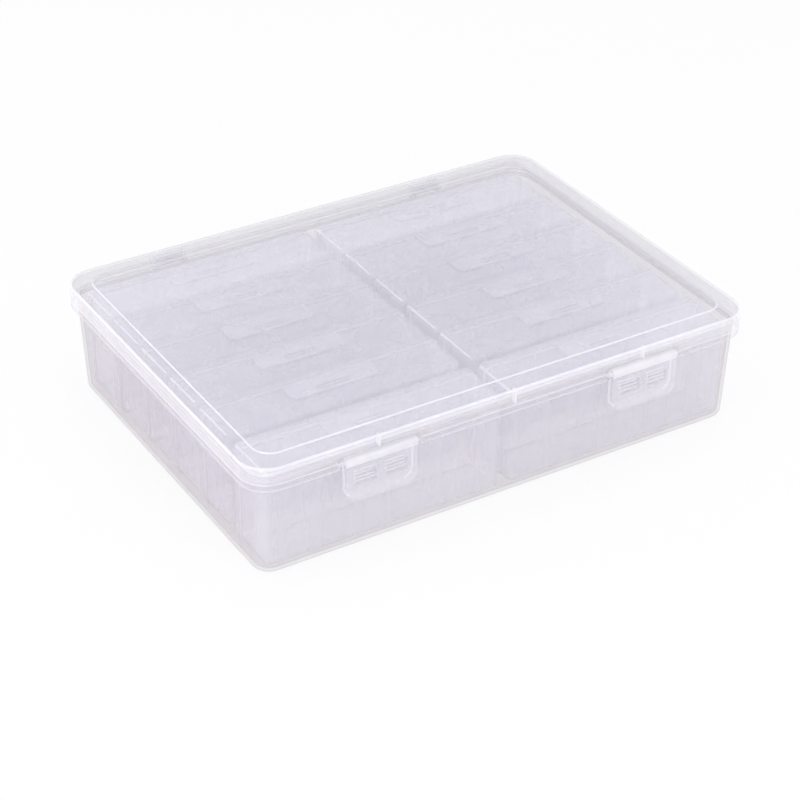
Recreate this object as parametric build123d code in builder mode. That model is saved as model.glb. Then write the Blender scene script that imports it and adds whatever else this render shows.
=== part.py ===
import math
import os
from build123d import *

os.makedirs("parts", exist_ok=True)

# Divided craft storage box, in millimetres. +Z is up, +X runs along the long side and
# the latches are on the -Y side. The origin is the centre of the tub's underside.

# inner cases, six rows of two, standing on their lower edges; the box is sized to hold them
ROWS = 6
CASE_W = 157.0
CASE_H = 65.6
CASE_LID_DEPTH = 8.4
CASE_BASE_DEPTH = 28.9
CASE_WALL = 1.3
CASE_CORNER = 5.0
CASE_CUT = 3.0
LIP_OUT = 0.8
LIP_CUT = 3.2
LIP_DEPTH = 1.6
TAB_W = 57.0
TAB_LEN = 17.0
TAB_THICK = 1.1
TAB_CORNER = 5.0
SLOT_W = 22.0
SLOT_LEN = 4.6
SLOT_FROM_EDGE = 4.4
CATCH_W = 20.0
CATCH_LEN = 2.2

# room around the cases
COLUMN_GAP = 4.0
SIDE_GAP = 2.66
ROW_GAP = 0.5
BACK_GAP = 1.0
FRONT_GAP = 1.25
FRONT_SLACK = 5.77
HEADROOM = 6.7

# lid
PANEL_RISE = 1.4
SKIRT_DROP = 10.6
LID_CORNER = 18.0
LID_WALL = 1.5
BORDER_WIDTH = 11.5
PANEL_CORNER = 12.0
LID_EDGE_CUT = 0.8
PANEL_EDGE_CUT = 0.5
GUSSET_W = 1.2
GUSSET_CLEAR = 0.5

# tub
TUB_WALL = 2.0
TUB_FLOOR = 2.0
TUB_INSET = 6.4
TUB_DRAFT = 1.72
TUB_CORNER = 12.0
TUB_EDGE_ROUND = 4.0
RIM_RISE = 3.6
FLANGE_DROP = 4.9
FLANGE_PLATE = 1.6
FLANGE_LIP = 1.5
FLANGE_IN = 5.5

# rear hinge, two stations
HINGE_X = 95.0
HINGE_OUT = 4.0
HINGE_R = 3.5
PIN_R = 1.5
RUNNING = 0.05
KNUCKLE_W = 16.0
EAR_W = 3.0
EAR_GAP = 0.4
MOUTH_W = 2.4

# front latches, hung on the lid
LATCH_X = 90.0
LATCH_W = 46.0
BARREL_R = 3.1
BARREL_OUT = -0.95
BARREL_DROP = 12.25
STUB_R = 1.4
STUB_LEN = 2.0
LATCH_EAR_W = 2.0
NOTCH_CLEAR = 0.4
EAR_CLEAR = 0.6
LATCH_GAP = 0.4
FLAP_OUT = 1.35
FLAP_THICK = 1.6
FLAP_DROP = 38.0
FLAP_CORNER = 8.0
FLAP_RETURN = 4.4
FLAP_SIDE = 1.5
THUMB_RISE = 8.6
THUMB_THICK = 0.8
WINDOW_W = 14.0
WINDOW_H = 8.6
WINDOW_X = 9.9
WINDOW_DROP = 24.0
LUG_W = 13.0
LUG_H = 7.6
LUG_GAP = 0.1
LUG_STEPS = 4

# sizes, levels and positions that follow from the values above
SLOPE = math.tan(math.radians(TUB_DRAFT))
WALL_IN = TUB_INSET + TUB_WALL - TUB_FLOOR * SLOPE
LENGTH = 2 * (CASE_W + SIDE_GAP + WALL_IN) + COLUMN_GAP
CASE_DEPTH = CASE_BASE_DEPTH + CASE_LID_DEPTH
DEPTH = ROWS * CASE_DEPTH + (ROWS - 2) * ROW_GAP + FRONT_SLACK + BACK_GAP + FRONT_GAP + 2 * WALL_IN
BORDER_TOP = TUB_FLOOR + CASE_H + TAB_THICK + HEADROOM + LID_WALL - PANEL_RISE
SEAT_Z = BORDER_TOP - SKIRT_DROP
RIM_TOP = SEAT_Z + RIM_RISE
CASE_X = (CASE_W + COLUMN_GAP) / 2
CASE_PITCH = CASE_DEPTH + ROW_GAP
HALF_D = DEPTH / 2
PANEL_TOP = BORDER_TOP + PANEL_RISE
FLANGE_BOTTOM = SEAT_Z - FLANGE_DROP
HINGE_Y = HALF_D + HINGE_OUT
BARREL_Y = -HALF_D - BARREL_OUT
BARREL_Z = BORDER_TOP - BARREL_DROP
NOTCH_TOP = BARREL_Z + BARREL_R + NOTCH_CLEAR
FLAP_FRONT = -HALF_D - FLAP_OUT
FLAP_BACK = FLAP_FRONT + FLAP_THICK
FLAP_BOTTOM = BORDER_TOP - FLAP_DROP
FLAP_TOP = BARREL_Z - 0.75
WINDOW_Z = BORDER_TOP - WINDOW_DROP
CASE_MID_Z = TUB_FLOOR + CASE_H / 2
CASE_TOP = TUB_FLOOR + CASE_H


def wall_y(z):
    """Distance from the middle to the outside of the tub's front or rear wall at a height."""
    return HALF_D - TUB_INSET + z * SLOPE


def inner_y(z):
    """The same for the inside of that wall."""
    return wall_y(z) - TUB_WALL


# the tub: a drafted shell with an outward flange that carries a short hanging lip
with BuildPart() as tub:
    with BuildSketch():
        RectangleRounded(LENGTH - 2 * TUB_INSET, DEPTH - 2 * TUB_INSET, TUB_CORNER)
    extrude(amount=RIM_TOP, taper=-TUB_DRAFT)
    fillet(tub.faces().sort_by(Axis.Z)[0].edges(), TUB_EDGE_ROUND)
    with BuildSketch(Plane.XY.offset(TUB_FLOOR)):
        RectangleRounded(LENGTH - 2 * WALL_IN, DEPTH - 2 * WALL_IN, TUB_CORNER - TUB_WALL)
    extrude(amount=RIM_TOP - TUB_FLOOR + 0.01, taper=-TUB_DRAFT, mode=Mode.SUBTRACT)
    with BuildSketch(Plane.XY.offset(FLANGE_BOTTOM)):
        RectangleRounded(LENGTH, DEPTH, LID_CORNER)
        RectangleRounded(
            LENGTH - 2 * FLANGE_LIP, DEPTH - 2 * FLANGE_LIP, LID_CORNER - FLANGE_LIP, mode=Mode.SUBTRACT
        )
    extrude(amount=FLANGE_DROP)
    with BuildSketch(Plane.XY.offset(SEAT_Z - FLANGE_PLATE)):
        RectangleRounded(LENGTH, DEPTH, LID_CORNER)
        RectangleRounded(
            LENGTH - 2 * FLANGE_IN, DEPTH - 2 * FLANGE_IN, LID_CORNER - FLANGE_IN, mode=Mode.SUBTRACT
        )
    extrude(amount=FLANGE_PLATE)
    # room in the flange for the latches' barrels
    notch_half = LATCH_W / 2 + LATCH_GAP + LATCH_EAR_W + EAR_CLEAR
    notch_back = -(wall_y(FLANGE_BOTTOM) - 0.15)
    for x in (-LATCH_X, LATCH_X):
        with Locations((x, notch_back, FLANGE_BOTTOM - 0.1)):
            Box(
                2 * notch_half, 12, FLANGE_DROP + 0.1,
                align=(Align.CENTER, Align.MAX, Align.MIN), mode=Mode.SUBTRACT,
            )
        # two stepped catch lugs behind each latch's windows
        for dx in (-WINDOW_X, WINDOW_X):
            top = WINDOW_Z + LUG_H / 2
            step = LUG_H / LUG_STEPS
            tip = FLAP_BACK + LUG_GAP
            points = [(-inner_y(0) - 3.2, top), (tip + 2.4, top)]
            for i in range(LUG_STEPS):
                out = tip + 0.55 * (LUG_STEPS - 1 - i)
                level = top - i * step
                points.append((out, level - 0.45))
                points.append((out, level - 1.25))
                if i < LUG_STEPS - 1:
                    points.append((out + 0.6, level - step))
            points.append((tip, top - LUG_H))
            points.append((-inner_y(0) - 3.2, top - LUG_H))
            with BuildSketch(Plane.YZ.offset(x + dx - LUG_W / 2)):
                with BuildLine():
                    Polyline(*points, close=True)
                make_face()
            extrude(amount=LUG_W)
    # hinge ears with their pins
    for x in (-HINGE_X, HINGE_X):
        for side in (-1, 1):
            near = x + side * (KNUCKLE_W / 2 + EAR_GAP)
            with BuildSketch(Plane.YZ.offset(near)):
                with BuildLine():
                    Polyline(
                        (HALF_D - FLANGE_LIP / 2, FLANGE_BOTTOM), (HINGE_Y + HINGE_R / 2, SEAT_Z - HINGE_R),
                        (HINGE_Y + HINGE_R, SEAT_Z - HINGE_R / 2), (HINGE_Y + HINGE_R, SEAT_Z + HINGE_R / 2),
                        (HINGE_Y + HINGE_R / 2, SEAT_Z + HINGE_R), (HINGE_Y - HINGE_R / 2, SEAT_Z + HINGE_R),
                        (HINGE_Y - HINGE_R, SEAT_Z + HINGE_R / 2), (HINGE_Y - HINGE_R, SEAT_Z),
                        (HALF_D - FLANGE_LIP / 2, SEAT_Z), close=True,
                    )
                make_face()
            extrude(amount=side * EAR_W)
        with Locations(Location((x, HINGE_Y, SEAT_Z), (0, 90, 0))):
            Cylinder(PIN_R, KNUCKLE_W + 2 * EAR_GAP + 2.0)
tub.part.label = "tub"
export_step(tub.part, "parts/tub.step")

# the lid: skirt, flat border and a slightly raised panel, in one clear shell
with BuildPart() as lid:
    with BuildSketch(Plane.XY.offset(SEAT_Z)):
        RectangleRounded(LENGTH, DEPTH, LID_CORNER)
    extrude(amount=SKIRT_DROP)
    chamfer(lid.faces().sort_by(Axis.Z)[-1].edges(), LID_EDGE_CUT)
    panel_w = LENGTH - 2 * BORDER_WIDTH
    panel_d = DEPTH - 2 * BORDER_WIDTH
    with BuildSketch(Plane.XY.offset(BORDER_TOP - 0.5)):
        RectangleRounded(panel_w, panel_d, PANEL_CORNER)
    extrude(amount=PANEL_RISE + 0.5)
    chamfer(lid.faces().sort_by(Axis.Z)[-1].edges(), PANEL_EDGE_CUT)
    with BuildSketch(Plane.XY.offset(SEAT_Z)):
        RectangleRounded(LENGTH - 2 * LID_WALL, DEPTH - 2 * LID_WALL, LID_CORNER - LID_WALL)
    extrude(amount=SKIRT_DROP - LID_WALL, mode=Mode.SUBTRACT)
    with BuildSketch(Plane.XY.offset(BORDER_TOP - LID_WALL - 0.1)):
        RectangleRounded(panel_w - 2 * LID_WALL, panel_d - 2 * LID_WALL, PANEL_CORNER - LID_WALL)
    extrude(amount=PANEL_RISE + 0.1, mode=Mode.SUBTRACT)
    # three gussets inside the front border
    gusset_len = HALF_D - LID_WALL / 2 - wall_y(SEAT_Z) - GUSSET_CLEAR
    for x, low in ((-LATCH_X, NOTCH_TOP + 0.3), (0.0, SEAT_Z + 0.3), (LATCH_X, NOTCH_TOP + 0.3)):
        with Locations((x, -HALF_D + LID_WALL / 2, low)):
            Box(
                GUSSET_W, gusset_len, BORDER_TOP - LID_WALL / 2 - low,
                align=(Align.CENTER, Align.MIN, Align.MIN),
            )
    for x in (-LATCH_X, LATCH_X):
        # the skirt is raised over each barrel
        with Locations((x, -HALF_D - 1, SEAT_Z - 1)):
            Box(
                LATCH_W + 2 * LATCH_GAP, LID_WALL + 2, NOTCH_TOP - SEAT_Z + 1,
                align=(Align.CENTER, Align.MIN, Align.MIN), mode=Mode.SUBTRACT,
            )
        # ears that carry the latch's stubs
        for side in (-1, 1):
            near = x + side * (LATCH_W / 2 + LATCH_GAP)
            with BuildSketch(Plane.YZ.offset(near)):
                with BuildLine():
                    Polyline(
                        (BARREL_Y - BARREL_R, BARREL_Z + BARREL_R / 2), (BARREL_Y - BARREL_R, BARREL_Z - BARREL_R / 2),
                        (BARREL_Y - BARREL_R / 2, BARREL_Z - BARREL_R), (BARREL_Y + BARREL_R / 2, BARREL_Z - BARREL_R),
                        (BARREL_Y + BARREL_R, BARREL_Z - BARREL_R / 2), (BARREL_Y + BARREL_R, BARREL_Z + BARREL_R / 2),
                        (-HALF_D + LID_WALL, NOTCH_TOP + 2), (-HALF_D, NOTCH_TOP + 2), close=True,
                    )
                make_face()
                with Locations((BARREL_Y, BARREL_Z)):
                    Circle(STUB_R + RUNNING, mode=Mode.SUBTRACT)
            extrude(amount=side * LATCH_EAR_W)
    # open-sided hinge knuckles at the rear
    for x in (-HINGE_X, HINGE_X):
        with BuildSketch(Plane.YZ.offset(x - KNUCKLE_W / 2)):
            with Locations((HINGE_Y, SEAT_Z)):
                Circle(HINGE_R)
            with BuildLine():
                Polyline(
                    (HALF_D - 0.7, SEAT_Z + 0.3), (HINGE_Y, SEAT_Z + 0.3), (HINGE_Y, SEAT_Z + HINGE_R),
                    (HALF_D - 0.7, SEAT_Z + 6.2), close=True,
                )
            make_face()
            with Locations((HINGE_Y, SEAT_Z)):
                Circle(PIN_R + RUNNING, mode=Mode.SUBTRACT)
            with Locations((HINGE_Y, SEAT_Z - 3)):
                Rectangle(MOUTH_W, 6, mode=Mode.SUBTRACT)
        extrude(amount=KNUCKLE_W)
lid.part.label = "lid"
export_step(lid.part, "parts/lid.step")


def flap_outline(plane, low, high, shrink):
    """The flap's outline on a plane, square at the top and rounded at the two lower corners."""
    w = LATCH_W / 2 - shrink
    r = FLAP_CORNER - shrink
    low = low + shrink
    with BuildSketch(plane) as outline:
        with BuildLine():
            Line((-w, low + r), (-w, high))
            Line((-w, high), (w, high))
            Line((w, high), (w, low + r))
            RadiusArc((w, low + r), (w - r, low), r)
            Line((w - r, low), (-w + r, low))
            RadiusArc((-w + r, low), (-w, low + r), r)
        make_face()
    return outline.sketch


def latch(x, name):
    """One latch: a barrel with end stubs and a windowed flap with turned-in sides."""
    front = Plane(origin=(x, FLAP_FRONT, 0), x_dir=(1, 0, 0), z_dir=(0, -1, 0))
    with BuildPart() as body:
        extrude(flap_outline(front, FLAP_BOTTOM, FLAP_TOP, 0), amount=-FLAP_THICK)
        extrude(flap_outline(front, FLAP_BOTTOM, BARREL_Z - BARREL_R + 0.6, 0), amount=-FLAP_RETURN)
        extrude(
            flap_outline(front.offset(-FLAP_THICK), FLAP_BOTTOM, BARREL_Z, FLAP_SIDE),
            amount=-FLAP_RETURN, mode=Mode.SUBTRACT,
        )
        # no turned-in edge below the lugs, so that the lid can lift the flap past them
        with Locations((x, FLAP_BACK, FLAP_BOTTOM)):
            Box(
                2 * (LUG_W / 2 + WINDOW_X + 0.8), FLAP_RETURN, 2 * (FLAP_SIDE + 1),
                align=(Align.CENTER, Align.MIN, Align.CENTER), mode=Mode.SUBTRACT,
            )
        # a thicker band at the foot for the thumb
        extrude(flap_outline(front, FLAP_BOTTOM, FLAP_BOTTOM + THUMB_RISE, 0), amount=THUMB_THICK)
        with BuildSketch(front.offset(THUMB_THICK)):
            with Locations((-WINDOW_X, WINDOW_Z), (WINDOW_X, WINDOW_Z)):
                Rectangle(WINDOW_W, WINDOW_H)
        extrude(amount=-FLAP_THICK - THUMB_THICK, mode=Mode.SUBTRACT)
        with Locations(Location((x, BARREL_Y, BARREL_Z), (0, 90, 0))):
            Cylinder(BARREL_R, LATCH_W)
            Cylinder(STUB_R, LATCH_W + 2 * STUB_LEN)
    body.part.label = name
    export_step(body.part, "parts/" + name + ".step")


latch(-LATCH_X, "latch_left")
latch(LATCH_X, "latch_right")


def cut_outline(x, y, width, height, cut):
    """An upright outline at y with its four corners cut."""
    w = width / 2
    h = height / 2
    plane = Plane(origin=(x, y, CASE_MID_Z), x_dir=(1, 0, 0), z_dir=(0, -1, 0))
    with BuildSketch(plane) as outline:
        with BuildLine():
            Polyline(
                (-w + cut, -h), (w - cut, -h), (w, -h + cut), (w, h - cut),
                (w - cut, h), (-w + cut, h), (-w, h - cut), (-w, -h + cut), close=True,
            )
        make_face()
    return outline.sketch


def case_plan(x, y, far, width, cut):
    """Seen from above, a tray open at y and closed at far, with its two closed corners cut."""
    out = math.copysign(1, far - y)
    with BuildSketch(Plane.XY.offset(-1)) as plan:
        with BuildLine():
            Polyline(
                (x - width / 2, y), (x - width / 2, far - out * cut), (x - width / 2 + cut, far),
                (x + width / 2 - cut, far), (x + width / 2, far - out * cut), (x + width / 2, y), close=True,
            )
        make_face()
    return plan.sketch


def case_hollow(x, y, far, width, height):
    """The space inside a tray, with plain cut corners."""
    with BuildPart(mode=Mode.PRIVATE) as space:
        extrude(cut_outline(x, y, width, height, CASE_CORNER - CASE_WALL), amount=y - far)
        extrude(
            case_plan(x, y, far, width, CASE_CUT - 0.586 * CASE_WALL),
            amount=CASE_TOP + 2, mode=Mode.INTERSECT,
        )
    return space.part


def case_base(x, y, name):
    """The deep front half of an inner case, open to the rear, with its rim lip and catch rib."""
    face = Plane(origin=(x, y, CASE_MID_Z), x_dir=(1, 0, 0), z_dir=(0, -1, 0))
    body_w = CASE_W - 2 * LIP_OUT
    body_h = CASE_H - 2 * LIP_OUT
    far = y - CASE_BASE_DEPTH
    with BuildPart() as body:
        with BuildSketch(face):
            RectangleRounded(body_w, body_h, CASE_CORNER - LIP_OUT)
        extrude(amount=CASE_BASE_DEPTH)
        extrude(case_plan(x, y, far, body_w, CASE_CUT), amount=CASE_TOP + 2, mode=Mode.INTERSECT)
        extrude(cut_outline(x, y, CASE_W, CASE_H, LIP_CUT), amount=LIP_DEPTH)
        add(
            case_hollow(x, y, far + CASE_WALL, body_w - 2 * CASE_WALL, body_h - 2 * CASE_WALL),
            mode=Mode.SUBTRACT,
        )
        with Locations((x, y - TAB_LEN + SLOT_FROM_EDGE, CASE_TOP - LIP_OUT - 0.2)):
            Box(CATCH_W, CATCH_LEN, LIP_OUT + TAB_THICK - 0.1, align=(Align.CENTER, Align.CENTER, Align.MIN))
    body.part.label = name
    export_step(body.part, "parts/" + name + ".step")


def case_lid(x, y, name):
    """The shallow rear half of an inner case, with the slotted tab that latches over the top."""
    far = y + CASE_LID_DEPTH
    left = x - TAB_W / 2
    right = x + TAB_W / 2
    edge = y - TAB_LEN
    with BuildPart() as body:
        extrude(cut_outline(x, y, CASE_W, CASE_H, LIP_CUT), amount=-CASE_LID_DEPTH)
        extrude(case_plan(x, y, far, CASE_W, CASE_CUT), amount=CASE_TOP + 2, mode=Mode.INTERSECT)
        add(
            case_hollow(x, y, far - CASE_WALL, CASE_W - 2 * CASE_WALL, CASE_H - 2 * CASE_WALL),
            mode=Mode.SUBTRACT,
        )
        with BuildSketch(Plane.XY.offset(CASE_TOP)):
            with BuildLine():
                Line((left, y + LIP_DEPTH), (left, edge + TAB_CORNER))
                RadiusArc((left, edge + TAB_CORNER), (left + TAB_CORNER, edge), -TAB_CORNER)
                Line((left + TAB_CORNER, edge), (right - TAB_CORNER, edge))
                RadiusArc((right - TAB_CORNER, edge), (right, edge + TAB_CORNER), -TAB_CORNER)
                Line((right, edge + TAB_CORNER), (right, y + LIP_DEPTH))
                Line((right, y + LIP_DEPTH), (left, y + LIP_DEPTH))
            make_face()
            with Locations((x, edge + SLOT_FROM_EDGE)):
                Rectangle(SLOT_W, SLOT_LEN, mode=Mode.SUBTRACT)
        extrude(amount=TAB_THICK)
    body.part.label = name
    export_step(body.part, "parts/" + name + ".step")


# rows 1 to 5 are packed from the rear wall, and row 6 stands against the front wall
back_face = HALF_D - WALL_IN - BACK_GAP
front_face = -HALF_D + WALL_IN + FRONT_GAP
for row in range(1, ROWS + 1):
    parting = back_face - CASE_LID_DEPTH - (row - 1) * CASE_PITCH
    if row == ROWS:
        parting = front_face + CASE_BASE_DEPTH
    for side, x in (("left", -CASE_X), ("right", CASE_X)):
        case_base(x, parting, f"case_{row}_{side}_base")
        case_lid(x, parting, f"case_{row}_{side}_lid")
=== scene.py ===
import math
import bpy
from mathutils import Matrix, Vector


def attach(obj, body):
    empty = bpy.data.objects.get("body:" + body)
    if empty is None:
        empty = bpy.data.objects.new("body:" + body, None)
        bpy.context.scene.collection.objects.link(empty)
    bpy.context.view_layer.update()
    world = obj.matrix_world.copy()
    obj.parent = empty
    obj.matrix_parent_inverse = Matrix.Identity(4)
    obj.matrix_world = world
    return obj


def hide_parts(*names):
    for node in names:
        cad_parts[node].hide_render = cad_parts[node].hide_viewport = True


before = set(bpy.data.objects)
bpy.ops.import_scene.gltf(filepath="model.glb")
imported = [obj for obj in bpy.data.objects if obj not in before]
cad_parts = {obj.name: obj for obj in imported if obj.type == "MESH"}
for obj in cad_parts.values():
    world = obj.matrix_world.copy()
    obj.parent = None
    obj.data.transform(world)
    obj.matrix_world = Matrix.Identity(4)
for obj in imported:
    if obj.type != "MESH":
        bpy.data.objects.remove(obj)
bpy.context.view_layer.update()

# The photograph's view: a long lens a little over a metre away, looking down at the
# front left corner. Lens, place and turn were solved from the lid's outline.
bpy.context.scene.view_settings.view_transform = "Standard"
photo_lens = bpy.data.cameras.new("photo_view")
photo_lens.lens = 101.12
photo_lens.sensor_width = 36
photo_lens.clip_start = 0.05
photo_view = bpy.data.objects.new("photo_view", photo_lens)
bpy.context.scene.collection.objects.link(photo_view)
photo_view.matrix_world = (
    Matrix.Translation((-0.616534, -1.006804, 0.761356))
    @ Matrix.Rotation(math.radians(-31.42833), 4, "Z")
    @ Matrix.Rotation(math.radians(57.13069), 4, "X")
    @ Matrix.Rotation(math.radians(0.368), 4, "Z")
)
bpy.context.scene.camera = photo_view
# A sight line down through the lid and the cases crosses more clear faces than the usual eight.
bpy.context.scene.cycles.transparent_max_bounces = 28

# The studio: a white sweep that the camera sees as nearly paper white with a soft
# shadow, and two large soft boxes in a pale surround, as plain packshot light.
paper_share = 0.8
sweep_width = 9
sweep_drop = 0.0002


def add_node(nodes, kind, values):
    """Adds a shader node and sets the inputs that are named in values."""
    node = nodes.new(kind)
    for name, value in values.items():
        node.inputs[name].default_value = value
    return node


def work_out(nodes, links, operation, first, second):
    """Works out one value from two, each of them a node's output or a plain number."""
    node = nodes.new("ShaderNodeMath")
    node.operation = operation
    for entry, value in zip(node.inputs, (first, second)):
        if isinstance(value, float):
            entry.default_value = value
        else:
            links.new(value, entry)
    return node.outputs[0]


def blend_shaders(nodes, links, share, first, second, output):
    """Shows the second shader in the given share, and the first in the rest."""
    blend = nodes.new("ShaderNodeMixShader")
    links.new(share, blend.inputs[0])
    links.new(first.outputs[0], blend.inputs[1])
    links.new(second.outputs[0], blend.inputs[2])
    links.new(blend.outputs[0], nodes[output].inputs["Surface"])


def seen_directly(nodes, links):
    """1 where the camera looks at a surface, straight, in gloss or through plastic, else 0."""
    rays = nodes.new("ShaderNodeLightPath").outputs
    seen = work_out(nodes, links, "MAXIMUM", rays["Is Camera Ray"], rays["Is Transmission Ray"])
    return work_out(nodes, links, "MAXIMUM", seen, rays["Is Glossy Ray"])


sweep_paint = bpy.data.materials.new("white sweep")
sweep_paint.use_nodes = True
nodes, links = sweep_paint.node_tree.nodes, sweep_paint.node_tree.links
matt = nodes["Principled BSDF"]
matt.inputs["Base Color"].default_value = (0.9, 0.9, 0.91, 1)
matt.inputs["Roughness"].default_value = 0.9
paper = add_node(nodes, "ShaderNodeEmission", {"Strength": 1.0})
share = work_out(nodes, links, "MULTIPLY", seen_directly(nodes, links), paper_share)
blend_shaders(nodes, links, share, matt, paper, "Material Output")
bpy.ops.object.select_all(action="DESELECT")
bpy.ops.mesh.primitive_plane_add(size=sweep_width, location=(0, 0, -sweep_drop))
sweep = bpy.context.object
sweep.name = "studio_floor"
sweep.data.materials.append(sweep_paint)

surround = bpy.data.worlds.new("pale surround")
bpy.context.scene.world = surround
surround.use_nodes = True
nodes, links = surround.node_tree.nodes, surround.node_tree.links
ambient = nodes["Background"]
ambient.inputs["Color"].default_value = (0.95, 0.94, 0.99, 1)
ambient.inputs["Strength"].default_value = 0.95
white = add_node(nodes, "ShaderNodeBackground", {"Strength": 1.0})
blend_shaders(nodes, links, seen_directly(nodes, links), ambient, white, "World Output")

for box_name, place, size, power in (
    ("soft_box_left", (-1.7, -0.1, 0.95), 1.3, 11.5),
    ("soft_box_front", (0.7, -1.6, 1.0), 1.0, 7.2),
):
    soft_box = bpy.data.lights.new(box_name, "AREA")
    soft_box.size = size
    soft_box.energy = power
    lamp = bpy.data.objects.new(box_name, soft_box)
    bpy.context.scene.collection.objects.link(lamp)
    lamp.rotation_euler = Vector(place).to_track_quat("Z", "Y").to_euler()
    lamp.location = place

# The tub: one thin drafted moulding of clear, slightly milky polypropylene, with a flat
# floor, rounded foot and corners. Its walls look denser where they are seen edge-on.
tub_foot = (0.3272, 0.2377)
tub_rim = (0.33131, 0.24181)
tub_height = 0.0685
tub_wall = 0.002
tub_corner = 0.012
tub_foot_round = 0.004
tub_edge_round = 0.0005
# each part's second look is a painted highlight: a whiter, denser copy of its plastic on rims and rounded
# edges, standing in for the light they catch
clear_look, painted_highlight_look = 0, 1  # places in each part's list of looks
hair = 1e-5  # less than this counts as no distance


def clear_plastic(name, colour, haze, edge_on, gloss):
    """Thin clear plastic, with the given haze seen square on and the given body seen edge-on."""
    look = bpy.data.materials.new(name)
    look.use_nodes = True
    look.surface_render_method = "BLENDED"
    nodes, links = look.node_tree.nodes, look.node_tree.links
    shader = nodes["Principled BSDF"]
    shader.inputs["IOR"].default_value = 1.49
    place = nodes.new("ShaderNodeTexCoord")
    # flow streaks about 12 mm apart run up the walls, and tint and cloud them a little
    stretch = add_node(nodes, "ShaderNodeMapping", {"Scale": (85, 85, 7)})
    links.new(place.outputs["Object"], stretch.inputs["Vector"])
    streaks = add_node(nodes, "ShaderNodeTexNoise", {"Scale": 1.0, "Detail": 1.0})
    links.new(stretch.outputs["Vector"], streaks.inputs["Vector"])
    tint = nodes.new("ShaderNodeMix")
    tint.data_type = "RGBA"
    tint.inputs["A"].default_value = (colour[0] * 0.96, colour[1] * 0.96, colour[2] * 0.985, 1)
    tint.inputs["B"].default_value = (colour[0], colour[1], colour[2], 1)
    links.new(streaks.outputs["Fac"], tint.inputs["Factor"])
    links.new(tint.outputs["Result"], shader.inputs["Base Color"])
    # the mould's fine orange peel changes the gloss and ripples the surface
    peel = add_node(nodes, "ShaderNodeTexNoise", {"Scale": 420, "Detail": 0.0})
    links.new(place.outputs["Object"], peel.inputs["Vector"])
    polish = add_node(nodes, "ShaderNodeMapRange", {"To Min": gloss * 0.7, "To Max": gloss * 1.3})
    links.new(peel.outputs["Fac"], polish.inputs["Value"])
    links.new(polish.outputs["Result"], shader.inputs["Roughness"])
    ripple = add_node(nodes, "ShaderNodeBump", {"Strength": 0.04, "Distance": 0.0002})
    links.new(peel.outputs["Fac"], ripple.inputs["Height"])
    links.new(ripple.outputs["Normal"], shader.inputs["Normal"])
    # a wall seen at a slant shows more plastic, so it looks denser
    side_on = add_node(nodes, "ShaderNodeLayerWeight", {"Blend": 0.5})
    slant = work_out(nodes, links, "POWER", side_on.outputs["Facing"], 2.4)
    body = add_node(nodes, "ShaderNodeMapRange", {"To Min": haze, "To Max": edge_on})
    links.new(slant, body.inputs["Value"])
    cloud = add_node(
        nodes, "ShaderNodeMapRange",
        {"From Min": 0.3, "From Max": 0.7, "To Min": -0.08 * haze, "To Max": 0.14 * haze},
    )
    links.new(streaks.outputs["Fac"], cloud.inputs["Value"])
    density = work_out(nodes, links, "ADD", body.outputs["Result"], cloud.outputs["Result"])
    links.new(density, shader.inputs["Alpha"])
    # milky plastic hands most of the lamps' light on to what is behind it
    lamp_ray = nodes.new("ShaderNodeLightPath").outputs["Is Shadow Ray"]
    passed_on = add_node(nodes, "ShaderNodeBsdfTransparent", {"Color": (0.98, 0.98, 0.98, 1)})
    blend_shaders(nodes, links, lamp_ray, shader, passed_on, "Material Output")
    return look


def start_block(name, low, high, looks):
    """A plain block between two corners, from which a piece is shaped."""
    bpy.ops.object.select_all(action="DESELECT")
    bpy.ops.mesh.primitive_cube_add(
        size=1,
        location=[(a + b) / 2 for a, b in zip(low, high)],
        scale=[b - a for a, b in zip(low, high)],
    )
    bpy.ops.object.transform_apply(location=True, rotation=True, scale=True)
    block = bpy.context.object
    block.name = name
    for look in looks:
        block.data.materials.append(look)
    return block


def choose(part, kind, test):
    """Opens a part for editing with only those edges or faces chosen that pass the test."""
    bpy.context.view_layer.objects.active = part
    bpy.ops.object.mode_set(mode="EDIT")
    bpy.ops.mesh.select_mode(type=kind)
    bpy.ops.mesh.select_all(action="DESELECT")
    bpy.ops.object.mode_set(mode="OBJECT")
    if kind == "EDGE":
        for edge in part.data.edges:
            a, b = (part.data.vertices[i].co for i in edge.vertices)
            edge.select = test((a + b) / 2, (b - a).normalized())
    else:
        for face in part.data.polygons:
            face.select = test(face.center, face.normal)
    bpy.ops.object.mode_set(mode="EDIT")


def upright(middle, way):
    """True for an edge that runs up."""
    return abs(way.z) > 0.9


def facing_up(centre, normal):
    """True for a face that looks up."""
    return normal.z > 0.9


def round_edges(part, test, radius, steps, look=clear_look):
    """Rounds the chosen edges of a part."""
    choose(part, "EDGE", test)
    bpy.ops.mesh.bevel(offset=radius, segments=steps, affect="EDGES", clamp_overlap=False, material=look)
    bpy.ops.object.mode_set(mode="OBJECT")


def open_side(part, test):
    """Takes the chosen faces off a part."""
    choose(part, "FACE", test)
    bpy.ops.mesh.delete(type="FACE")
    bpy.ops.object.mode_set(mode="OBJECT")


def apply_modifier(part, modifier):
    """Makes what a modifier does a lasting part of the mesh."""
    bpy.ops.object.select_all(action="DESELECT")
    part.select_set(True)
    bpy.context.view_layer.objects.active = part
    bpy.ops.object.modifier_apply(modifier=modifier.name)


def give_wall(part, thickness):
    """Thickens an open shell inwards, with its cut rim in the part's painted highlight look."""
    wall = part.modifiers.new("wall", "SOLIDIFY")
    wall.thickness = thickness
    wall.offset = -1
    wall.use_even_offset = True
    wall.material_offset_rim = painted_highlight_look
    apply_modifier(part, wall)


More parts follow.
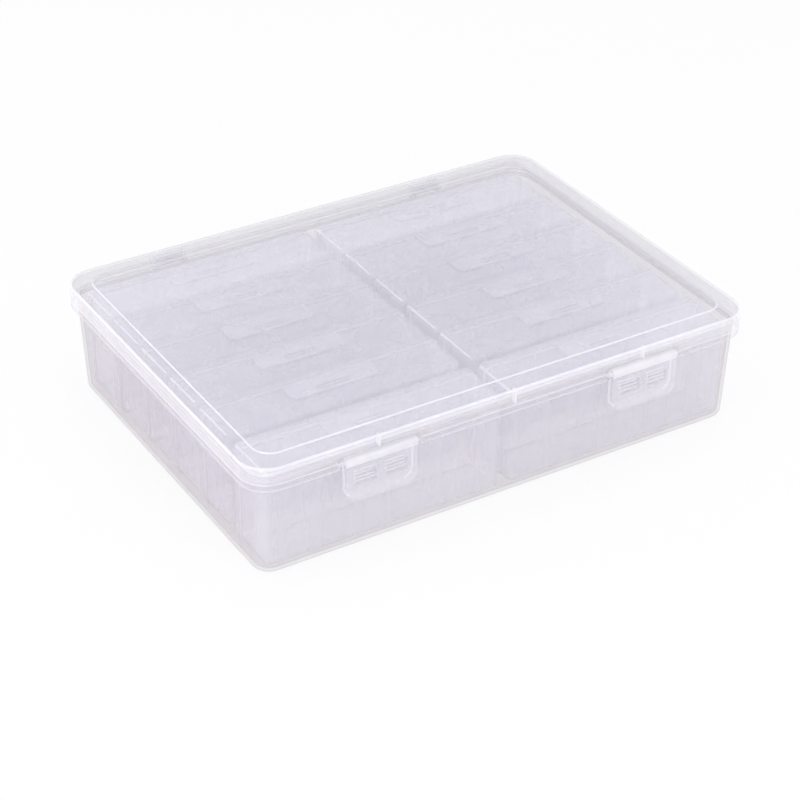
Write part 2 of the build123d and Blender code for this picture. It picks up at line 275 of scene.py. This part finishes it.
def ease_edges(part, radius):
    """Rounds all hard edges as the mould does, in the painted highlight look, and smooths the rest."""
    ease = part.modifiers.new("eased edges", "BEVEL")
    ease.width = radius
    ease.segments = 2
    ease.limit_method = "ANGLE"
    ease.angle_limit = math.radians(40)
    ease.material = painted_highlight_look
    apply_modifier(part, ease)
    bpy.ops.object.shade_smooth_by_angle(angle=math.radians(35))


tub_clear = clear_plastic("tub clear plastic", (0.44, 0.385, 0.425), haze=0.09, edge_on=0.42, gloss=0.14)
# painted highlight: near-white, denser tub plastic for the rims and rounded edges of the tub, flange, lugs
# and hinge ears
tub_painted_highlight = clear_plastic("tub painted highlight", (0.94, 0.925, 0.94), haze=0.35, edge_on=0.8, gloss=0.12)
tub_shell = start_block(
    "tub_shell",
    (-tub_foot[0] / 2, -tub_foot[1] / 2, 0),
    (tub_foot[0] / 2, tub_foot[1] / 2, tub_height),
    (tub_clear, tub_painted_highlight),
)
choose(tub_shell, "FACE", facing_up)
bpy.ops.transform.resize(value=(tub_rim[0] / tub_foot[0], tub_rim[1] / tub_foot[1], 1))
bpy.ops.object.mode_set(mode="OBJECT")
round_edges(tub_shell, upright, tub_corner, steps=10)
round_edges(tub_shell, lambda middle, way: middle.z < hair, tub_foot_round, steps=5)
open_side(tub_shell, facing_up)
give_wall(tub_shell, tub_wall)
ease_edges(tub_shell, tub_edge_round)
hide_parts("tub")
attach(tub_shell, "tub")

# The tub's flange: the flat shelf that the lid's skirt sits on, moulded round the outside
# of the wall with a short hanging lip, and notched at the front for the two latches.
lid_outline = (0.340, 0.2505)
lid_front = -lid_outline[1] / 2
lid_corner = 0.018
flange_foot, flange_top = 0.0600, 0.0649
flange_wall = 0.0015
flange_edge_round = 0.0004
shelf_width = 0.0052
latch_x = 0.090
notch_half_width = 0.026
notch_back = -0.1205
cut_past = 0.001  # how far a cutter reaches beyond the plastic


def rounded_block(name, size, bottom, top, corner, looks):
    """A block with rounded upright corners, centred on the box."""
    w, d = size[0] / 2, size[1] / 2
    block = start_block(name, (-w, -d, bottom), (w, d, top), looks)
    round_edges(block, upright, corner, steps=10)
    return block


def facing_down(centre, normal):
    """True for a face that looks down."""
    return normal.z < -0.9


def combine(part, tool, operation):
    """Welds a second solid to a part, or cuts it away."""
    joint = part.modifiers.new("joint", "BOOLEAN")
    joint.operation = operation
    joint.solver = "EXACT"
    joint.object = tool
    apply_modifier(part, joint)
    bpy.data.objects.remove(tool)


# paler than the tub's wall, as painted light that lifts the shade where the two are seen one through the
# other
flange_paled_clear = clear_plastic(
    "flange plastic painted paler", (0.68, 0.64, 0.67), haze=0.07, edge_on=0.42, gloss=0.14
)
flange = rounded_block(
    "tub_flange", lid_outline, flange_foot, flange_top, lid_corner, (flange_paled_clear, tub_painted_highlight)
)
open_side(flange, facing_down)
choose(flange, "FACE", facing_up)
bpy.ops.mesh.inset(thickness=shelf_width)
bpy.ops.mesh.delete(type="FACE")
bpy.ops.object.mode_set(mode="OBJECT")
give_wall(flange, flange_wall)
for x in (-latch_x, latch_x):
    notch = start_block(
        "notch",
        (x - notch_half_width, lid_front - cut_past, flange_foot - cut_past),
        (x + notch_half_width, notch_back, flange_top + cut_past),
        (),
    )
    combine(flange, notch, "DIFFERENCE")
ease_edges(flange, flange_edge_round)
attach(flange, "tub")

# Catch lugs: two stepped wedges behind each latch's windows, moulded on the front wall.
# Each has four teeth, the lowest one standing out furthest.
latch_places = (("left", -latch_x), ("right", latch_x))
window_shift = 0.0099
tooth_half_width = 0.0065
tooth_front, tooth_back = -0.12325, -0.1187
tooth_low, tooth_high = 0.0534, 0.0553
tooth_step = 0.00055
tooth_round = 0.0007


def top_front(middle, way):
    """True for the front edge along a tooth's top."""
    return middle.y < tooth_front + hair and middle.z > tooth_high - hair and abs(way.x) > 0.9


# paler than the tub's wall too, as painted light that lifts the shade where it is seen through the latch
lug_paled_clear = clear_plastic("lug plastic painted paler", (0.86, 0.84, 0.87), haze=0.06, edge_on=0.3, gloss=0.14)
for side, x in latch_places:
    for hand, middle_x in (("a", x - window_shift), ("b", x + window_shift)):
        lug = start_block(
            f"catch_lug_{side}_{hand}",
            (middle_x - tooth_half_width, tooth_front, tooth_low),
            (middle_x + tooth_half_width, tooth_back, tooth_high),
            (lug_paled_clear, tub_painted_highlight),
        )
        round_edges(lug, top_front, tooth_round, steps=2, look=painted_highlight_look)
        teeth = lug.modifiers.new("four teeth", "ARRAY")
        teeth.count = 4
        teeth.use_relative_offset = False
        teeth.use_constant_offset = True
        teeth.constant_offset_displace = (0, -tooth_step, tooth_low - tooth_high)
        apply_modifier(lug, teeth)
        bpy.ops.object.shade_smooth_by_angle(angle=math.radians(35))
        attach(lug, "tub")

# Hinge ears: pairs of rounded plates on the back of the flange, each pair carrying a
# moulded 3 mm pin that the lid's knuckle turns on. In the same plastic as the tub.
hinge_x, hinge_y, hinge_z = 0.095, 0.12925, 0.0649
hinge_axis = (hinge_y, hinge_z)
hinge_places = (("left", -hinge_x), ("right", hinge_x))
pin_radius = 0.0015
pin_half_length = 0.0100
ear_radius = 0.0035
ear_near, ear_far = 0.0084, 0.0114
web_foot = 0.0602
hinge_root = 0.1246


def bar_across(name, x_low, x_high, axis, radius, looks, sides=32):
    """A round bar along the box's long side, its axis given as a place in Y and Z."""
    bpy.ops.object.select_all(action="DESELECT")
    bpy.ops.mesh.primitive_cylinder_add(
        vertices=sides, radius=radius, depth=x_high - x_low,
        location=((x_low + x_high) / 2, axis[0], axis[1]), rotation=(0, math.pi / 2, 0),
    )
    bpy.ops.object.transform_apply(location=True, rotation=True, scale=True)
    bar = bpy.context.object
    bar.name = name
    for look in looks:
        bar.data.materials.append(look)
    return bar


hinge_clear = clear_plastic("hinge clear plastic", (0.9, 0.885, 0.9), haze=0.15, edge_on=0.5, gloss=0.14)
ear_looks = (hinge_clear, tub_painted_highlight)
for side, x in hinge_places:
    ears = bar_across(
        f"hinge_ears_{side}", x - pin_half_length, x + pin_half_length, hinge_axis, pin_radius, ear_looks
    )
    for low, high in ((x - ear_far, x - ear_near), (x + ear_near, x + ear_far)):
        eye = bar_across("eye", low, high, hinge_axis, ear_radius, ear_looks)
        web = start_block("web", (low, hinge_root, web_foot), (high, hinge_y, hinge_z), ear_looks)
        combine(eye, web, "UNION")
        combine(ears, eye, "UNION")
    ease_edges(ears, flange_edge_round)
    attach(ears, "tub")

# Inner cases, deep halves: thin trays standing on edge, with rounded walls, a thicker
# lip round the mouth and a catch rib on top. Clear polypropylene, the milkiest of all.
case_half_width = 0.0785
case_floor, case_top = 0.00205, 0.0676
case_corner = 0.005
case_wall = 0.0013
half_gap = 0.00005
deep_far = -0.0289
deep_inset = 0.0008
deep_rim_round = 0.0042
lip_depth = 0.0016
lip_stands_out = 0.00075
rib_half_length = 0.010
rib_front, rib_back = -0.0137, -0.0115
rib_low, rib_high = 0.0662, 0.0684
small_edge_round = 0.0003


def all_over(centre, normal):
    """True for every face."""
    return True


def front_to_back(middle, way):
    """True for an edge that runs from front to back."""
    return abs(way.y) > 0.9


def give_look(part, test, look=painted_highlight_look):
    """Gives the chosen faces the part's painted highlight look, or another of its looks."""
    choose(part, "FACE", test)
    part.active_material_index = look
    bpy.ops.object.material_slot_assign()
    bpy.ops.object.mode_set(mode="OBJECT")


def case_shell(name, y_open, y_far, inset, rim_round):
    """A thin tray on its side, open towards y_open, with a rounded rim at y_far."""
    tray = start_block(
        name,
        (-case_half_width + inset, min(y_open, y_far), case_floor + inset),
        (case_half_width - inset, max(y_open, y_far), case_top - inset),
        case_looks,
    )
    round_edges(tray, front_to_back, case_corner - inset, steps=5)
    # a painted highlight runs along the middle of each rounded corner as a bright line
    give_look(tray, lambda centre, normal: 0.6 < abs(normal.x) < 0.8)
    round_edges(tray, lambda middle, way: abs(middle.y - y_far) < hair, rim_round, steps=4)
    open_side(tray, lambda centre, normal: abs(centre.y - y_open) < hair)
    give_wall(tray, case_wall)
    return tray


def on_lip(centre, normal):
    """True for the faces outside the walls, between the mouth and the end of the lip."""
    outwards = normal.x * centre.x + normal.z * (centre.z - (case_top + case_floor) / 2)
    return centre.y > -lip_depth and abs(normal.y) < 0.5 and outwards > 0


case_clear = clear_plastic(
    "case clear plastic", (0.955, 0.95, 0.985), haze=0.25, edge_on=0.36, gloss=0.16
)
# painted highlight: near-white, denser case plastic for the rims, rounded edges and corner lines of the
# cases
case_painted_highlight = clear_plastic("case painted highlight", (0.99, 0.99, 0.995), haze=0.5, edge_on=0.8, gloss=0.14)
case_looks = (case_clear, case_painted_highlight)
deep_half = case_shell("deep_half", -half_gap, deep_far, deep_inset, deep_rim_round)
choose(deep_half, "FACE", all_over)
bpy.ops.mesh.bisect(plane_co=(0, -lip_depth, 0), plane_no=(0, 1, 0))
bpy.ops.object.mode_set(mode="OBJECT")
choose(deep_half, "FACE", on_lip)
bpy.ops.mesh.extrude_region_shrink_fatten(TRANSFORM_OT_shrink_fatten={"value": lip_stands_out})
bpy.ops.object.mode_set(mode="OBJECT")
catch_rib = start_block(
    "catch_rib", (-rib_half_length, rib_front, rib_low), (rib_half_length, rib_back, rib_high), case_looks
)
combine(deep_half, catch_rib, "UNION")
ease_edges(deep_half, small_edge_round)

# Inner cases, shallow halves: each closes its case from behind, and its tab lies over the
# top of the deep half, with a slot that the catch rib pokes through.
shallow_far = 0.0084
shallow_rim_round = 0.003
tab_half_width = 0.0285
tab_front, tab_back = -0.017, 0.0016
tab_low, tab_high = 0.06765, 0.0687
tab_corner = 0.004
slot_half_length = 0.011
slot_front, slot_back = -0.0149, -0.0103
slot_corner = 0.0015
root_front = 0.0002
root_low, root_high = 0.0668, 0.0683
shallow_half = case_shell("shallow_half", half_gap, shallow_far, 0, shallow_rim_round)
tab = start_block(
    "tab", (-tab_half_width, tab_front, tab_low), (tab_half_width, tab_back, tab_high), case_looks
)
round_edges(
    tab, lambda middle, way: upright(middle, way) and middle.y < tab_front + hair, tab_corner, steps=5
)
slot_hole = start_block(
    "slot_hole",
    (-slot_half_length, slot_front, tab_low - cut_past),
    (slot_half_length, slot_back, tab_high + cut_past),
    (),
)
round_edges(slot_hole, upright, slot_corner, steps=3)
combine(tab, slot_hole, "DIFFERENCE")
root = start_block(
    "root", (-tab_half_width, root_front, root_low), (tab_half_width, tab_back, root_high), case_looks
)
combine(tab, root, "UNION")
combine(shallow_half, tab, "UNION")
ease_edges(shallow_half, small_edge_round)

# The twelve cases in place: six rows of two on edge, five of them packed close from the
# back, and the last one standing free against the front wall.
case_column = 0.0805
row_pitch = 0.0378
close_rows = 5
back_parting, front_parting = 0.10751, -0.08676
partings = [back_parting - row_pitch * row for row in range(close_rows)] + [front_parting]
for row, parting in enumerate(partings, start=1):
    for side, x in (("left", -case_column), ("right", case_column)):
        body = f"case_{row}_{side}"
        for half, node in ((deep_half, "base"), (shallow_half, "lid")):
            piece = half.copy()
            piece.data = half.data.copy()
            piece.name = f"{body}_{node}_shell"
            bpy.context.scene.collection.objects.link(piece)
            piece.data.transform(Matrix.Translation((x, parting, 0)))
            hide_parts(f"{body}_{node}")
            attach(piece, body)
bpy.data.objects.remove(deep_half)
bpy.data.objects.remove(shallow_half)

# The lid: a flat clear border with a hanging skirt, round a panel that stands 1.4 mm
# higher. One moulding; its outer edge and the panel's step are rounded and carry a painted highlight.
skirt_foot, border_top, panel_top = 0.0650, 0.0755, 0.0769
panel_outline = (0.317, 0.2275)
panel_corner = 0.012
lid_wall = 0.0015
outer_edge_round = 0.0012
step_round = 0.0007
relief_half_width = 0.0234
relief_back = -0.1232
relief_top = 0.06675
skirt_painted_light_look = 2


def flat(centre, normal):
    """True for a face that looks up or down."""
    return abs(normal.z) > 0.9


def at_border_top(middle, way):
    """True for the edges at the height of the lid's border."""
    return abs(middle.z - border_top) < hair


def on_outer_edge(middle, way):
    """True for the edges round the outside of the lid's border."""
    across = max(abs(middle.x) - lid_outline[0] / 2 + lid_corner, 0)
    along = max(abs(middle.y) - lid_outline[1] / 2 + lid_corner, 0)
    inside = lid_corner - math.hypot(across, along)
    return at_border_top(middle, way) and inside < lid_wall


lid_clear = clear_plastic("lid clear plastic", (0.50, 0.49, 0.54), haze=0.06, edge_on=0.42, gloss=0.12)
# painted highlight: near-white, denser lid plastic for the lid's outer edge, panel step, rims and gussets
lid_painted_highlight = clear_plastic("lid painted highlight", (0.97, 0.965, 0.975), haze=0.4, edge_on=0.85, gloss=0.1)
# the skirt shows whiter than the border in the photograph, so it has a look of its own: a whiter copy of
# the lid plastic, painted light for the light the skirt catches
lid_skirt_painted_light = clear_plastic("lid skirt plastic, painted light", (0.92, 0.905, 0.91), haze=0.16, edge_on=0.5, gloss=0.12)
lid_looks = (lid_clear, lid_painted_highlight)
lid_shell = rounded_block(
    "lid_shell", lid_outline, skirt_foot, border_top, lid_corner, lid_looks + (lid_skirt_painted_light,)
)
open_side(lid_shell, flat)
give_look(lid_shell, all_over, skirt_painted_light_look)
panel = rounded_block("panel", panel_outline, border_top, panel_top, panel_corner, lid_looks)
open_side(panel, facing_down)
bpy.ops.object.select_all(action="DESELECT")
panel.select_set(True)
lid_shell.select_set(True)
bpy.context.view_layer.objects.active = lid_shell
bpy.ops.object.join()
choose(lid_shell, "EDGE", at_border_top)
bpy.ops.mesh.bridge_edge_loops()
bpy.ops.mesh.select_all(action="SELECT")
bpy.ops.mesh.normals_make_consistent(inside=False)
bpy.ops.object.mode_set(mode="OBJECT")
give_look(lid_shell, flat, clear_look)
round_edges(lid_shell, on_outer_edge, outer_edge_round, steps=4, look=painted_highlight_look)
round_edges(
    lid_shell, lambda middle, way: abs(middle.z - panel_top) < hair, step_round, steps=3, look=painted_highlight_look
)
give_wall(lid_shell, lid_wall)
for x in (-latch_x, latch_x):
    relief = start_block(
        "relief",
        (x - relief_half_width, lid_front - cut_past, skirt_foot - cut_past),
        (x + relief_half_width, relief_back, relief_top),
        (),
    )
    combine(lid_shell, relief, "DIFFERENCE")
ease_edges(lid_shell, small_edge_round)
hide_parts("lid")
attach(lid_shell, "lid")

# Three thin gussets stiffen the front border from inside, one over each latch and one
# in the middle. They are moulded with the lid.
gusset_half_width = 0.0006
gusset_front, gusset_back = -0.1245, -0.1213
gusset_top = 0.0747
latch_gusset_foot, middle_gusset_foot = 0.06705, 0.0652
for name, x, foot in (
    ("left", -latch_x, latch_gusset_foot),
    ("middle", 0.0, middle_gusset_foot),
    ("right", latch_x, latch_gusset_foot),
):
    gusset = start_block(
        f"gusset_{name}",
        (x - gusset_half_width, gusset_front, foot),
        (x + gusset_half_width, gusset_back, gusset_top),
        lid_looks,
    )
    # the whole gusset gets the lid's painted highlight look
    give_look(gusset, all_over)
    ease_edges(gusset, small_edge_round)
    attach(gusset, "lid")

# Ears on the front skirt: small round plates at both ends of each latch's barrel, which
# its stubs turn in. They are moulded with the lid and hang from the skirt.
barrel_y, barrel_z = -0.1243, 0.06325
barrel_axis = (barrel_y, barrel_z)
barrel_radius = 0.0031
ear_inner, ear_outer = 0.0234, 0.0254
ear_bore = 0.00145
hanger_back = -0.1238
hanger_top = 0.0685
for side, x in latch_places:
    for hand, low, high in (
        ("outer", x - ear_outer, x - ear_inner),
        ("inner", x + ear_inner, x + ear_outer),
    ):
        ear = bar_across(f"latch_ear_{side}_{hand}", low, high, barrel_axis, barrel_radius, lid_looks)
        hanger = start_block(
            "hanger", (low, lid_front, barrel_z), (high, hanger_back, hanger_top), lid_looks
        )
        combine(ear, hanger, "UNION")
        bore = bar_across("bore", low - cut_past, high + cut_past, barrel_axis, ear_bore, (), sides=24)
        combine(ear, bore, "DIFFERENCE")
        ease_edges(ear, small_edge_round)
        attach(ear, "lid")

# Hinge knuckles on the back skirt: short round blocks with a bore and a mouth below, so
# that the lid clips down over the tub's pins.
knuckle_half_length = 0.008
knuckle_bore = 0.00155
arm_foot, arm_top = 0.0652, 0.0684
mouth_half_width = 0.0012
knuckle_looks = (hinge_clear, lid_painted_highlight)
for side, x in hinge_places:
    low, high = x - knuckle_half_length, x + knuckle_half_length
    knuckle = bar_across(f"hinge_knuckle_{side}", low, high, hinge_axis, ear_radius, knuckle_looks)
    arm = start_block("arm", (low, hinge_root, arm_foot), (high, hinge_y, arm_top), knuckle_looks)
    combine(knuckle, arm, "UNION")
    bore = bar_across("bore", low - cut_past, high + cut_past, hinge_axis, knuckle_bore, (), sides=24)
    combine(knuckle, bore, "DIFFERENCE")
    mouth = start_block(
        "mouth",
        (low - cut_past, hinge_y - mouth_half_width, hinge_z - ear_radius - cut_past),
        (high + cut_past, hinge_y + mouth_half_width, hinge_z),
        (),
    )
    combine(knuckle, mouth, "DIFFERENCE")
    ease_edges(knuckle, small_edge_round)
    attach(knuckle, "lid")

# Latches: a thick round bar across the top and a flap with turned-in sides, two windows
# for the catch lugs and a thicker thumb band along its rounded foot.
latch_half_width = 0.023
flap_front, flap_foot, flap_top = -0.1266, 0.0375, 0.0625
flap_depth = 0.0044
flap_wall = 0.0015
flap_corner = 0.008
gap_half_width = 0.0172
gap_top = 0.0402
band_stands_out, band_sinks_in = 0.0008, 0.0006
band_top = 0.0461
window_half_width = 0.007
window_low, window_high = 0.0472, 0.0558
window_cut_front, window_cut_back = -0.130, -0.124
window_corner = 0.0008
stub_half_length = 0.025
stub_radius = 0.0014


def foot_corner(middle, way):
    """True for the edges through a flap's two lower corners."""
    return front_to_back(middle, way) and middle.z < flap_foot + hair


latch_clear = clear_plastic(
    "latch clear plastic", (0.88, 0.865, 0.885), haze=0.12, edge_on=0.5, gloss=0.14
)
# painted highlight: near-white, denser latch plastic for the latch's rims and rounded edges
latch_painted_highlight = clear_plastic("latch painted highlight", (0.96, 0.955, 0.955), haze=0.4, edge_on=0.8, gloss=0.1)
latch_looks = (latch_clear, latch_painted_highlight)
for side, x in latch_places:
    low, high = x - latch_half_width, x + latch_half_width
    flap = start_block(
        f"latch_{side}_flap",
        (low, flap_front, flap_foot),
        (high, flap_front + flap_depth, flap_top),
        latch_looks,
    )
    round_edges(flap, foot_corner, flap_corner, steps=8)
    open_side(flap, lambda centre, normal: normal.y > 0.9 or normal.z > 0.9)
    give_wall(flap, flap_wall)
    # the turned-in rim stops short along the foot
    gap = start_block(
        "gap",
        (x - gap_half_width, flap_front + flap_wall, flap_foot - cut_past),
        (x + gap_half_width, flap_front + flap_depth + cut_past, gap_top),
        (),
    )
    combine(flap, gap, "DIFFERENCE")
    thumb_band = start_block(
        "thumb_band",
        (low, flap_front - band_stands_out, flap_foot),
        (high, flap_front + band_sinks_in, band_top),
        latch_looks,
    )
    round_edges(thumb_band, foot_corner, flap_corner, steps=8)
    combine(flap, thumb_band, "UNION")
    for middle_x in (x - window_shift, x + window_shift):
        window = start_block(
            "window",
            (middle_x - window_half_width, window_cut_front, window_low),
            (middle_x + window_half_width, window_cut_back, window_high),
            (),
        )
        round_edges(window, front_to_back, window_corner, steps=3)
        combine(flap, window, "DIFFERENCE")
    barrel = bar_across("barrel", low, high, barrel_axis, barrel_radius, latch_looks)
    stubs = bar_across(
        "stubs", x - stub_half_length, x + stub_half_length, barrel_axis, stub_radius, latch_looks, sides=24
    )
    combine(barrel, stubs, "UNION")
    # the whole barrel and its stubs get the latch's painted highlight look
    give_look(barrel, all_over)
    combine(flap, barrel, "UNION")
    ease_edges(flap, small_edge_round)
    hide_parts(f"latch_{side}")
    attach(flap, f"latch_{side}")
